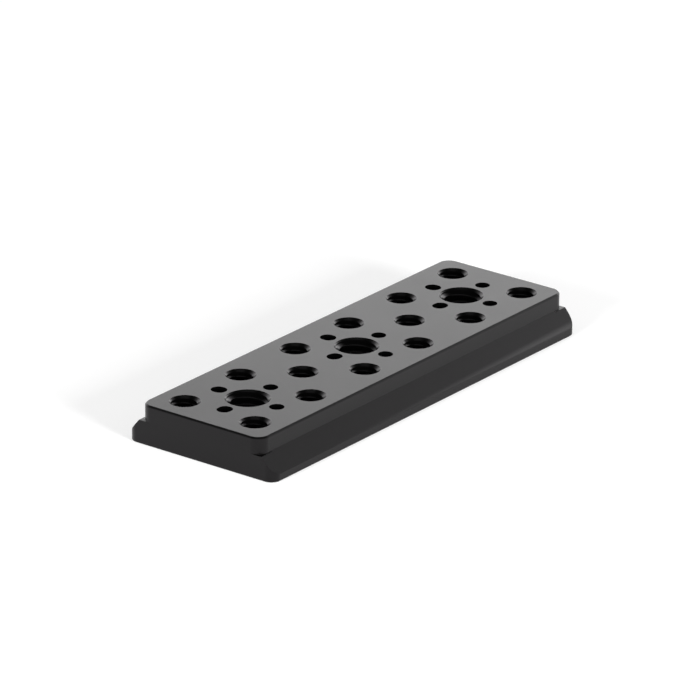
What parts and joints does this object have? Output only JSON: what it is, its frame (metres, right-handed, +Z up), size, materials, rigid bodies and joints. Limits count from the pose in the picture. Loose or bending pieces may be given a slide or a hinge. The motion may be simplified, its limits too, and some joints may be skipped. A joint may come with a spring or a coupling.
{
  "type": "camera top plate",
  "caption": "Black anodised aluminium dovetail plate with a flat top full of threaded accessory holes and slotted locating holes for anti-twist pins.",
  "frame": {"origin": "centre of the underside", "axes": "+X along the plate's length and the dovetail, +Y across it towards the slotted side, +Z up out of the top face"},
  "size_m": [0.1144, 0.0416, 0.0098],
  "materials": {
    "black_anodised": "satin"
  },
  "bodies": {
    "root": {"top_plate": "black_anodised"}
  },
  "joints": []
}
